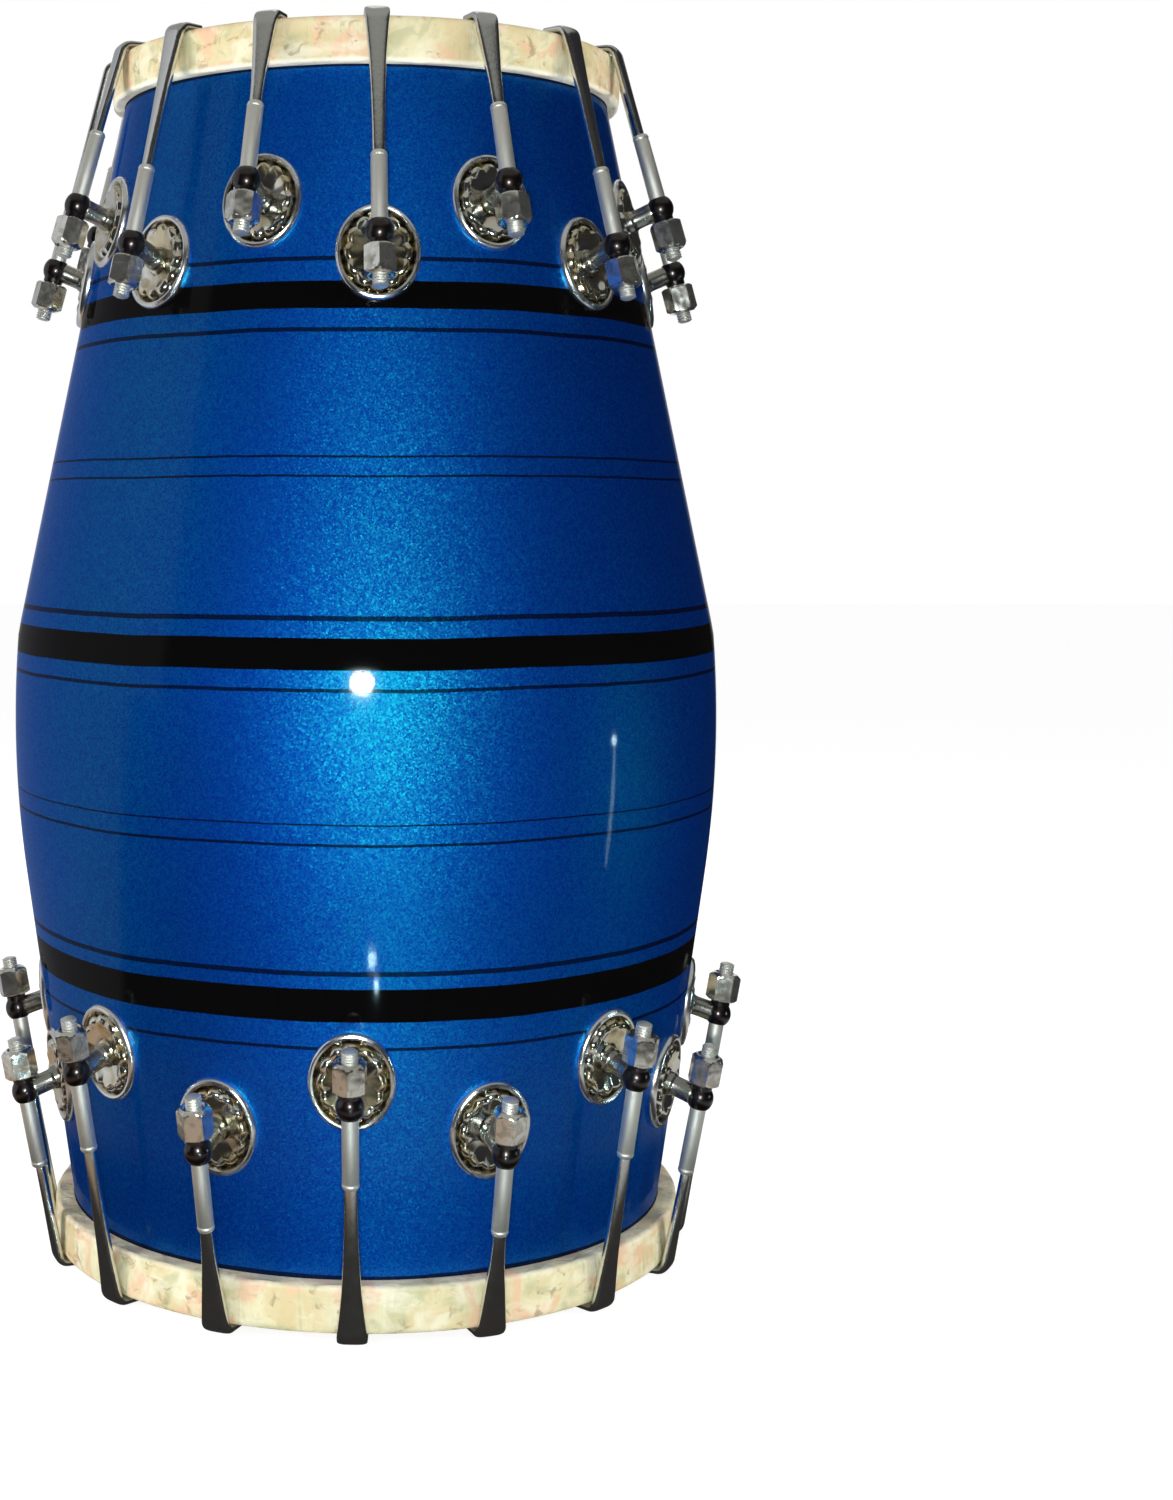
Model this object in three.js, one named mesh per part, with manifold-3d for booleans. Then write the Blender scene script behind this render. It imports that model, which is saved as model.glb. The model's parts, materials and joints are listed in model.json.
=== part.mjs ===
// A bolt-tuned dholak, in millimetres with +Z up. It stands on the lips of its bass hooks, at z = 0.
// A wooden barrel is closed by a skin at each mouth. A skin-wrapped hoop at each end is drawn on by
// sixteen hooks, and each hook's rod runs through an eye bolted to the barrel, with a nut beyond it.
import * as THREE from "three";
import { mergeVertices } from "three/addons/utils/BufferGeometryUtils.js";
import Module from "manifold-3d";

const wasm = await Module();
wasm.setup();

const touchGap = 0.3; // left between pieces that bear on each other
const mergeShare = 0.001; // points closer than this share of the touch gap are one point
const cutOverrun = 1; // how far a cutting tool runs past what it cuts
const overallHeight = 470; // over the hook lips of both ends

// Barrel
const bellyRadius = 140; // at the widest level
const bellyLevel = 209.7;
const bellyCurve = 435; // radius of the belly's arc, seen from the side
const lowerConeTop = 145.8; // below this level the side is straight
const shoulderLevel = 242; // above this level the side is straight again
const shellWall = 12;
const bellySteps = 6;
const roundSides = 48; // flats round the barrel, a hoop and a skin

// Heads
const skinThickness = 1;
const skinInset = 0.1; // how far the skin lies inside the hoop's end face
const pasteRadius = 46; // tuning paste, under the bass skin
const pasteThickness = 2.5;
const pasteSides = 24;
const hoopHeight = 16.8;
const hoopEdge = 1.5; // bevel along the hoop's outer edges

// Hooks, one at each station
const stationCount = 16;
const stationTurn = THREE.MathUtils.degToRad(2.2); // from the front to the first station
const rodRadius = 3;
const rodSides = 8;
const rodTail = 4.2; // stands out beyond the nut
const bladeStart = 30; // from the eye's centre to where the rod flattens into the blade
const bladeRoot = 4; // how far the blade runs into the round rod
const bladeThickness = 3.4;
const bladeStartWidth = 4.8;
const lipThickness = 2.8;
const lipBend = 3.2; // size of the rounded bend outside the lip
const lipBendSteps = 3;

// Nuts
const nutSides = 6;
const nutFlats = 11; // across flats
const nutHeight = 11;
const nutBevel = 1.2;
const rodClearance = 0.4; // round the rod, in the nut and in the eye

// Lugs: an oval rosette, a post and an eye
const rosetteLength = 36;
const rosetteWidth = 31;
const rosetteSides = 10;
const rosetteSink = 3; // how deep the rosette and the post run into the barrel
const rimHeight = 2.4;
const grooveHeight = 0.9;
const petalHeight = 3.2;
const petalDip = 1.1; // how far every second point of the petal ring lies lower
const hubHeight = 1.6; // where the cup's inner slope would meet the post's axis
const rimShare = 0.94; // radii of the rosette's rings, as shares of its outer radius
const grooveShare = 0.8;
const petalShare = 0.62;
const petalWaveShare = 0.9; // radius of the low points of the petal ring, by the high ones
const postRadius = 4;
const postSides = 6;
const postTilt = THREE.MathUtils.degToRad(11); // from square on the barrel, towards the rim
const eyeStandoff = 15.2; // from the barrel's surface to the eye's centre
const eyeRadius = 5;
const eyeFaceRadius = 3.9; // of the flat round the hole, on the side of the rim
const eyeNeckRadius = 4.4;
const eyeSeat = 5.4; // from the eye's centre to the face that carries the nut

// Each end has its own sizes. Depths are measured from the hoop's end face towards the drum's middle.
const endFace = lipThickness + touchGap;
const mouthDepth = skinInset + skinThickness + touchGap;
const treble = {
  name: "treble",
  level: overallHeight - endFace,
  outward: 1,
  mouthRadius: 93.7,
  hoopWidth: 8,
  bladeHoopWidth: 6.4, // where the blade reaches the hoop
  bladeLipWidth: 9.2, // where the blade bends over the hoop
  farDepth: 86.4,
  nearDepth: 66.9,
};
const bass = {
  name: "bass",
  level: endFace,
  outward: -1,
  mouthRadius: 114.6,
  hoopWidth: 9.5,
  bladeHoopWidth: 7.3,
  bladeLipWidth: 10.8,
  farDepth: 89.2,
  nearDepth: 69.7,
};

const lacquer = new THREE.MeshStandardMaterial({ color: 0x0b45b0, roughness: 0.22, metalness: 0.35 });
const hide = new THREE.MeshStandardMaterial({ color: 0xe2d3ae, roughness: 0.75, metalness: 0 });
const paste = new THREE.MeshStandardMaterial({ color: 0x1c1714, roughness: 0.95, metalness: 0 });
const steel = new THREE.MeshStandardMaterial({ color: 0x9a9a96, roughness: 0.2, metalness: 1 });
const nickel = new THREE.MeshStandardMaterial({ color: 0xd9d5c6, roughness: 0.18, metalness: 1 });

// A closed geometry as a solid that can be joined and cut
function solidOf(geometry) {
  const bare = geometry.clone();
  bare.deleteAttribute("normal");
  bare.deleteAttribute("uv");
  const merged = mergeVertices(bare, mergeShare * touchGap);
  return new wasm.Manifold(
    new wasm.Mesh({
      numProp: 3,
      vertProperties: merged.attributes.position.array,
      triVerts: new Uint32Array(merged.index.array),
    }),
  );
}

// The triangles of a solid, flat shaded
function geometryOf(solid) {
  const { vertProperties, triVerts } = solid.getMesh();
  const indexed = new THREE.BufferGeometry();
  indexed.setAttribute("position", new THREE.BufferAttribute(vertProperties, 3));
  indexed.setIndex(new THREE.BufferAttribute(triVerts, 1));
  const geometry = indexed.toNonIndexed();
  geometry.computeVertexNormals();
  return geometry;
}

// A profile of [radius, height] points, turned round the Y axis, with a flat facing +Z. Its flats lie
// at the profile's radii, or its corners do.
function turned(profile, sides, onFlats = true) {
  const halfFlat = Math.PI / sides;
  const growth = onFlats ? 1 / Math.cos(halfFlat) : 1;
  const points = profile.map(([radius, height]) => new THREE.Vector2(radius * growth, height));
  return new THREE.LatheGeometry(points, sides, halfFlat);
}

// The same with the profile turned round the Z axis, and a flat facing -Y
function turnedUpright(profile, sides, onFlats) {
  return turned(profile, sides, onFlats).rotateX(Math.PI / 2);
}

function bellyArc(level) {
  return bellyRadius - bellyCurve + Math.sqrt(bellyCurve ** 2 - (level - bellyLevel) ** 2);
}

const mouthLevels = [bass, treble].map((end) => end.level - end.outward * mouthDepth);

// Outer radius of the barrel at a level
function shellRadius(level) {
  const [bassMouth, trebleMouth] = mouthLevels;
  if (level < lowerConeTop) {
    const coneRadius = bellyArc(lowerConeTop);
    return THREE.MathUtils.mapLinear(level, bassMouth, lowerConeTop, bass.mouthRadius, coneRadius);
  }
  if (level > shoulderLevel) {
    const coneRadius = bellyArc(shoulderLevel);
    return THREE.MathUtils.mapLinear(level, trebleMouth, shoulderLevel, treble.mouthRadius, coneRadius);
  }
  return bellyArc(level);
}

function shellRadiusAtDepth(end, depth) {
  return shellRadius(end.level - end.outward * depth);
}

function hoopInside(end) {
  return end.mouthRadius + touchGap;
}

function hoopOutside(end) {
  return hoopInside(end) + end.hoopWidth;
}

function barrelGeometry() {
  const [bassMouth, trebleMouth] = mouthLevels;
  const arcLevels = [];
  for (let step = 0; step <= bellySteps; step += 1) {
    arcLevels.push(THREE.MathUtils.lerp(lowerConeTop, shoulderLevel, step / bellySteps));
  }
  const outside = [bassMouth, ...arcLevels, trebleMouth].map((level) => [shellRadius(level), level]);
  const innerLevels = [trebleMouth, shoulderLevel, bellyLevel, lowerConeTop, bassMouth];
  const inside = innerLevels.map((level) => [shellRadius(level) - shellWall, level]);
  return turnedUpright([...outside, ...inside, outside[0]], roundSides, false);
}

// In an end's own axes, +Z points out of the drum and z = 0 is the hoop's end face.
function hoopGeometry(end) {
  const inner = (depth) => shellRadiusAtDepth(end, depth) + touchGap;
  const outer = hoopOutside(end);
  const profile = [
    [inner(hoopHeight), -hoopHeight],
    [outer, -hoopHeight],
    [outer, -hoopEdge],
    [outer - hoopEdge, 0],
    [hoopInside(end), 0],
    [inner(hoopHeight), -hoopHeight],
  ];
  return turnedUpright(profile, roundSides);
}

function discGeometry(radius, thickness, top, sides) {
  const profile = [
    [0, top - thickness],
    [radius, top - thickness],
    [radius, top],
    [0, top],
  ];
  return turnedUpright(profile, sides, false);
}

// A station seen from the side, in (outward, up) of its end: where the post stands on the barrel, how far
// the post leans, where the eye's centre is, and how far the rod leans so that its blade clears the hoop.
function stationAt(end, depth) {
  const foot = new THREE.Vector2(shellRadiusAtDepth(end, depth), -depth);
  const halfLength = rosetteLength / 2;
  const rise = shellRadiusAtDepth(end, depth + halfLength) - shellRadiusAtDepth(end, depth - halfLength);
  const slope = Math.atan2(rise, rosetteLength);
  const postLean = slope + postTilt;
  const alongPost = new THREE.Vector2(Math.cos(postLean), Math.sin(postLean));
  const eye = alongPost.multiplyScalar(eyeStandoff).add(foot);
  const toEye = eye.clone().sub(new THREE.Vector2(hoopOutside(end), -hoopEdge));
  const bladeOffset = bladeThickness / 2 + touchGap;
  const lean = Math.atan2(toEye.x, -toEye.y) - Math.asin(bladeOffset / toEye.length());
  return { end, foot, eye, lean, slope, postLean };
}

// Places an object whose Y axis runs along a rod or a slope towards the rim and whose Z axis points
// out from the barrel.
function placeOn(object, point, lean) {
  object.position.set(0, -point.x, point.y);
  object.rotation.x = Math.PI / 2 - lean;
  object.updateMatrix();
  return object;
}

// The pressed oval cup round the post's foot: a rolled rim, a groove and a ring of petals
function rosetteGeometry() {
  const outerRadius = rosetteLength / 2;
  const profile = [
    [0, -rosetteSink],
    [outerRadius, -rosetteSink],
    [rimShare * outerRadius, rimHeight],
    [grooveShare * outerRadius, grooveHeight],
    [petalShare * outerRadius, petalHeight],
    [0, hubHeight],
  ];
  const petalRing = 4;
  const geometry = turned(profile, rosetteSides);
  const position = geometry.attributes.position;
  for (let vertex = 0; vertex < position.count; vertex += 1) {
    const ring = vertex % profile.length;
    const side = Math.floor(vertex / profile.length);
    const isDip = ring === petalRing && side % 2 === 1;
    const wave = isDip ? petalWaveShare : 1;
    const oval = rosetteWidth / rosetteLength;
    const height = position.getY(vertex) - (isDip ? petalDip : 0);
    position.setXYZ(vertex, position.getX(vertex) * wave * oval, height, position.getZ(vertex) * wave);
  }
  return geometry.rotateX(Math.PI / 2);
}

// The post from inside the barrel's wall to the eye's centre
function postGeometry() {
  const profile = [
    [0, -rosetteSink],
    [postRadius, -rosetteSink],
    [postRadius, eyeStandoff],
    [0, eyeStandoff],
  ];
  return turned(profile, postSides).rotateX(Math.PI / 2);
}

function eyeGeometry() {
  const faceHeight = Math.sqrt(eyeRadius ** 2 - eyeFaceRadius ** 2);
  const profile = [
    [0, -eyeSeat],
    [eyeNeckRadius, -eyeSeat],
    [eyeRadius, 0],
    [eyeFaceRadius, faceHeight],
    [0, faceHeight],
  ];
  return turned(profile, rodSides);
}

// Cuts the hole for the rod through the eye, and through a nut that is one with it.
function boreGeometry() {
  const radius = rodRadius + rodClearance;
  const bottom = -eyeSeat - nutHeight - cutOverrun;
  const top = eyeRadius + cutOverrun;
  return turned([[0, bottom], [radius, bottom], [radius, top], [0, top]], rodSides);
}

// The outline of a nut from its axis or its bore outwards, bevelled at its free end
function nutProfile(innerRadius, seat) {
  const free = seat - nutHeight;
  return [
    [innerRadius, free],
    [nutFlats / 2 - nutBevel, free],
    [nutFlats / 2, free + nutBevel],
    [nutFlats / 2, seat],
    [innerRadius, seat],
  ];
}

// A loose nut in its eye's axes, seated beyond the eye
function nutGeometry() {
  const profile = nutProfile(rodRadius + rodClearance, -eyeSeat - touchGap);
  return turned([...profile, profile[0]], nutSides);
}

// Rosette, post and drilled eye of one station, in its end's axes
function lugSolid(station, carriesNut) {
  const rosette = placeOn(new THREE.Object3D(), station.foot, station.slope);
  const post = placeOn(new THREE.Object3D(), station.foot, station.postLean);
  const eye = placeOn(new THREE.Object3D(), station.eye, station.lean);
  let head = solidOf(eyeGeometry().applyMatrix4(eye.matrix));
  if (carriesNut) {
    const nut = turned(nutProfile(0, touchGap - eyeSeat), nutSides);
    head = head.add(solidOf(nut.applyMatrix4(eye.matrix)));
  }
  const cup = solidOf(rosetteGeometry().applyMatrix4(rosette.matrix));
  const lug = cup.add(solidOf(postGeometry().applyMatrix4(post.matrix))).add(head);
  return lug.subtract(solidOf(boreGeometry().applyMatrix4(eye.matrix)));
}

// One hook in its eye's axes: the J-shaped strip cut to the blade's tapering width, and the round rod
function hookGeometry(station) {
  const { end, eye, lean } = station;
  const half = bladeThickness / 2;
  // Height along the rod at which a line at an offset from its axis reaches a level of the end
  const along = (level, offset) => (level - eye.y - offset * Math.sin(lean)) / Math.cos(lean);
  // A point of the end's side view in (offset, along)
  const inRodAxes = (outward, up) =>
    new THREE.Vector2(outward, up).sub(eye).rotateAround(new THREE.Vector2(), -lean);
  const lipTop = touchGap + lipThickness;
  const lipEnd = hoopInside(end);
  const corner = new THREE.Vector2(half, along(lipTop, half));
  const alongLip = new THREE.Vector2(-lipBend, 0).rotateAround(new THREE.Vector2(), -lean);
  const bendFrom = corner.clone().add(alongLip);
  const strip = new THREE.Shape();
  const tipUnder = inRodAxes(lipEnd, touchGap);
  const tipOver = inRodAxes(lipEnd, lipTop);
  strip.moveTo(half, bladeStart - bladeRoot);
  strip.lineTo(corner.x, corner.y - lipBend);
  strip.quadraticCurveTo(corner.x, corner.y, bendFrom.x, bendFrom.y);
  strip.lineTo(tipOver.x, tipOver.y);
  strip.lineTo(tipUnder.x, tipUnder.y);
  strip.lineTo(-half, along(touchGap, -half));
  strip.lineTo(-half, bladeStart - bladeRoot);
  const side = new THREE.ExtrudeGeometry(strip, {
    depth: end.bladeLipWidth,
    bevelEnabled: false,
    curveSegments: lipBendSteps,
  });
  side.translate(0, 0, -end.bladeLipWidth / 2).rotateY(-Math.PI / 2);

  const widths = [
    [bladeStartWidth, bladeStart - bladeRoot - cutOverrun],
    [bladeStartWidth, bladeStart],
    [end.bladeHoopWidth, along(-hoopHeight, 0)],
    [end.bladeLipWidth, along(0, 0)],
    [end.bladeLipWidth, tipOver.y + cutOverrun],
  ];
  const right = widths.map(([width, height]) => new THREE.Vector2(width / 2, height));
  const left = widths.map(([width, height]) => new THREE.Vector2(-width / 2, height)).reverse();
  const reach = end.hoopWidth + bladeThickness + cutOverrun;
  const front = new THREE.ExtrudeGeometry(new THREE.Shape([...right, ...left]), {
    depth: 2 * reach,
    bevelEnabled: false,
  }).translate(0, 0, -reach);

  const tailEnd = -eyeSeat - touchGap - nutHeight - rodTail;
  const rodProfile = [[0, tailEnd], [rodRadius, tailEnd], [rodRadius, bladeStart], [0, bladeStart]];
  const rod = solidOf(turned(rodProfile, rodSides));
  return geometryOf(solidOf(side).intersect(solidOf(front)).add(rod));
}

function meshOf(name, geometry, material) {
  const mesh = new THREE.Mesh(geometry, material);
  mesh.name = name;
  return mesh;
}

const drum = new THREE.Group();
let shell = solidOf(barrelGeometry());

for (const end of [treble, bass]) {
  // The bass end is the treble end turned over, so its stations run round the other way.
  const endGroup = new THREE.Group();
  endGroup.position.z = end.level;
  endGroup.rotation.y = end === bass ? Math.PI : 0;
  drum.add(endGroup);

  const hoop = meshOf(`${end.name}_hoop`, hoopGeometry(end), hide);
  hoop.rotation.z = stationTurn;
  endGroup.add(hoop);
  const skin = discGeometry(end.mouthRadius, skinThickness, -skinInset, roundSides);
  endGroup.add(meshOf(`${end.name}_skin`, skin, hide));
  if (end === bass) {
    const pasteTop = -skinInset - skinThickness - touchGap;
    const pasteDisc = discGeometry(pasteRadius, pasteThickness, pasteTop, pasteSides);
    endGroup.add(meshOf("bass_tuning_paste", pasteDisc, paste));
  }

  // The stations stand in two rows by turns, farther from the rim and nearer to it.
  const rows = [end.farDepth, end.nearDepth].map((depth) => {
    const station = stationAt(end, depth);
    const lug = geometryOf(lugSolid(station, end === bass));
    return { station, lug, hook: hookGeometry(station) };
  });
  const nut = nutGeometry();
  for (let index = 0; index < stationCount; index += 1) {
    const { station, lug, hook } = rows[index % 2];
    const number = String(index + 1).padStart(2, "0");
    const bay = new THREE.Group();
    bay.rotation.z = stationTurn + (index * 2 * Math.PI) / stationCount;
    endGroup.add(bay);
    bay.add(placeOn(meshOf(`${end.name}_hook_${number}`, hook, steel), station.eye, station.lean));
    if (end === treble) {
      bay.add(placeOn(meshOf(`treble_nut_${number}`, nut, nickel), station.eye, station.lean));
    }
    bay.updateWorldMatrix(true, false);
    shell = shell.add(solidOf(lug.clone().applyMatrix4(bay.matrixWorld)));
  }
}

drum.add(meshOf("shell", geometryOf(shell), lacquer));

export default drum;
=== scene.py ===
# A bolt-tuned dholak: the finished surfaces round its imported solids, a plain studio and the camera.
import math

import bmesh
import bpy
import numpy as np
from mathutils import Matrix, Vector
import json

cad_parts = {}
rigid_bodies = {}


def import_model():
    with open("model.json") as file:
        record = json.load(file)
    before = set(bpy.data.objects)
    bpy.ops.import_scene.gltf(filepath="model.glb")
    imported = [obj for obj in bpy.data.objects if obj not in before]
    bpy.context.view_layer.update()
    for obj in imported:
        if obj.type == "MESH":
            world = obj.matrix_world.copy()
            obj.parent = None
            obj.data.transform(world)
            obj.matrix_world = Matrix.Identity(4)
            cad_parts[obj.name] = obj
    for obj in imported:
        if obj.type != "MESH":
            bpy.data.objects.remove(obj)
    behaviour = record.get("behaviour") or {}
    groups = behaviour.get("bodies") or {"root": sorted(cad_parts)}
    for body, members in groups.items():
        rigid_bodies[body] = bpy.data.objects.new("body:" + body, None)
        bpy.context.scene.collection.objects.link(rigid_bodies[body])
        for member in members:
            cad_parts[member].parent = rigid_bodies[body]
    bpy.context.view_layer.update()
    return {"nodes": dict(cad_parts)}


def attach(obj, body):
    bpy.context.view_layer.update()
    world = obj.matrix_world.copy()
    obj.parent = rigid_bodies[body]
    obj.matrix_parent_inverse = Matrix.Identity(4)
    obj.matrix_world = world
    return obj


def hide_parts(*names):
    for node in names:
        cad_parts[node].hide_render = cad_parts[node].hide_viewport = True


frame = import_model()

MM = 0.001

# Sizes of the drum, in millimetres, as its solids have them
TOUCH_GAP = 0.3
OVERALL_HEIGHT = 470.0
BELLY_RADIUS = 140.0
BELLY_LEVEL = 209.7
BELLY_CURVE = 435.0
LOWER_CONE_TOP = 145.8
SHOULDER_LEVEL = 242.0
SHELL_WALL = 12.0
SKIN_THICKNESS = 1.0
SKIN_INSET = 0.1
HOOP_HEIGHT = 16.8
HOOP_EDGE = 1.5

STATION_COUNT = 16
STATION_TURN = math.radians(2.2)
ROD_RADIUS = 3.0
ROD_TAIL = 4.2
BLADE_START = 30.0
BLADE_THICKNESS = 3.4
NECK_WIDTH = 4.9
LIP_THICKNESS = 2.8

NUT_FLATS = 11.0
NUT_HEIGHT = 11.0
ROD_CLEARANCE = 0.4

ROSETTE_LENGTH = 36.0
ROSETTE_WIDTH = 31.0
POST_RADIUS = 4.0
POST_TILT = math.radians(11)
EYE_STANDOFF = 15.2
EYE_RADIUS = 5.0
EYE_SEAT = 5.4

END_FACE = LIP_THICKNESS + TOUCH_GAP
MOUTH_DEPTH = SKIN_INSET + SKIN_THICKNESS + TOUCH_GAP

THREAD_PITCH = 1.0
THREAD_DEPTH = 0.42
THREAD_STEP = 0.2
BLADE_BEND = 3.0
BLADE_STEP = 3.0
PETALS = 12

# Facets round each mesh, and along the wall
WALL_SIDES = 256
WALL_STEPS = 160
HOOP_SIDES = 256
HEAD_SIDES = 192
ROSETTE_SIDES = 120
POST_SIDES = 32
EYE_SIDES = 40
NUT_SIDES = 72
ROD_SIDES = 28
BLADE_SIDES = 24

# Edges that bend by more than this stay sharp, in degrees
HOOP_CREASE = 50.0
FORGED_CREASE = 40.0
HEAD_CREASE = 35.0
LUG_CREASE = 32.0


class End:
    """One end of the drum: outward is 1 at the treble and -1 at the bass."""

    def __init__(self, name, level, outward, mouth_radius, hoop_width, row_depths, blade_widths):
        self.name = name
        self.level = level
        self.outward = outward
        self.mouth_radius = mouth_radius
        self.hoop_inside = mouth_radius + TOUCH_GAP
        self.hoop_outside = self.hoop_inside + hoop_width
        self.row_depths = row_depths
        self.blade_hoop_width, self.blade_lip_width = blade_widths
        turned_over = Matrix.Rotation(0.0 if outward > 0 else math.pi, 4, "Y")
        self.matrix = Matrix.Translation((0.0, 0.0, level)) @ turned_over


TREBLE = End("treble", OVERALL_HEIGHT - END_FACE, 1, 93.7, 8.0, (86.4, 66.9), (6.4, 9.2))
BASS = End("bass", END_FACE, -1, 114.6, 9.5, (89.2, 69.7), (7.3, 10.8))
MOUTH_LEVELS = [end.level - end.outward * MOUTH_DEPTH for end in (BASS, TREBLE)]


def belly_arc(level):
    reach = math.sqrt(BELLY_CURVE**2 - (level - BELLY_LEVEL) ** 2)
    return BELLY_RADIUS - BELLY_CURVE + reach


def shell_radius(level):
    bass_mouth, treble_mouth = MOUTH_LEVELS
    if level < LOWER_CONE_TOP:
        share = (level - bass_mouth) / (LOWER_CONE_TOP - bass_mouth)
        return BASS.mouth_radius + share * (belly_arc(LOWER_CONE_TOP) - BASS.mouth_radius)
    if level > SHOULDER_LEVEL:
        share = (level - SHOULDER_LEVEL) / (treble_mouth - SHOULDER_LEVEL)
        shoulder = belly_arc(SHOULDER_LEVEL)
        return shoulder + share * (TREBLE.mouth_radius - shoulder)
    return belly_arc(level)


class Station:
    """Where a tuning station stands on the shell, seen from the side, and how far its rod leans."""

    def __init__(self, end, depth):
        def radius_at(place):
            return shell_radius(end.level - end.outward * place)

        self.end = end
        half = ROSETTE_LENGTH / 2
        rise = radius_at(depth + half) - radius_at(depth - half)
        self.slope = math.atan2(rise, ROSETTE_LENGTH)
        self.foot = Vector((radius_at(depth), -depth))
        self.post_lean = self.slope + POST_TILT
        along_post = Vector((math.cos(self.post_lean), math.sin(self.post_lean)))
        self.eye = self.foot + EYE_STANDOFF * along_post
        to_eye = self.eye - Vector((end.hoop_outside, -HOOP_EDGE))
        offset = BLADE_THICKNESS / 2 + TOUCH_GAP
        self.lean = math.atan2(to_eye.x, -to_eye.y) - math.asin(offset / to_eye.length)
        self.shell_curve = self.foot.x

    def matrix(self, point, lean):
        """Turns +Y along the rod to the rim and +Z out of the barrel, in millimetres, at the front."""
        place = Matrix.Translation((0.0, -point.x, point.y))
        return self.end.matrix @ place @ Matrix.Rotation(math.pi / 2 - lean, 4, "X")


STATIONS = {
    (end.name, row): Station(end, end.row_depths[row]) for end in (TREBLE, BASS) for row in (0, 1)
}


# Node trees as expressions
def math_node(operation):
    """The method of a Value that adds a Math node of this operation"""
    return lambda value, *others: value.math(operation, *others)


class Value:
    """A socket of a node tree. Sums, products and comparisons of it add Math nodes."""

    def __init__(self, tree, socket):
        self.tree = tree
        self.socket = socket

    def math(self, operation, *others):
        node = self.tree.nodes.new("ShaderNodeMath")
        node.operation = operation
        for place, value in enumerate((self, *others)):
            feed(self.tree, node.inputs[place], value)
        return Value(self.tree, node.outputs[0])

    __add__ = math_node("ADD")
    __radd__ = __add__
    __sub__ = math_node("SUBTRACT")
    __mul__ = math_node("MULTIPLY")
    __rmul__ = __mul__
    __truediv__ = math_node("DIVIDE")
    __pow__ = math_node("POWER")
    __gt__ = math_node("GREATER_THAN")
    __lt__ = math_node("LESS_THAN")
    size = math_node("ABSOLUTE")
    most = math_node("MAXIMUM")
    fraction = math_node("FRACT")

    def __neg__(self):
        return self * -1.0

    def __rsub__(self, other):
        return -self + other

    def step(self, start, end):
        """0 at start and 1 at end, clamped, with a soft start and end"""
        node = self.tree.nodes.new("ShaderNodeMapRange")
        node.interpolation_type = "SMOOTHSTEP"
        feed(self.tree, node.inputs["Value"], self)
        feed(self.tree, node.inputs["From Min"], start)
        feed(self.tree, node.inputs["From Max"], end)
        return Value(self.tree, node.outputs["Result"])


def feed(tree, socket, value):
    if isinstance(value, Value):
        tree.links.new(value.socket, socket)
    elif isinstance(value, bpy.types.NodeSocket):
        tree.links.new(value, socket)
    elif value is not None:
        socket.default_value = value


# Places of a Mix node's colour sockets, whose names its other kinds of socket share
MIX_FACTOR = 0
MIX_FIRST = 6
MIX_SECOND = 7
MIX_RESULT = 2


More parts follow.
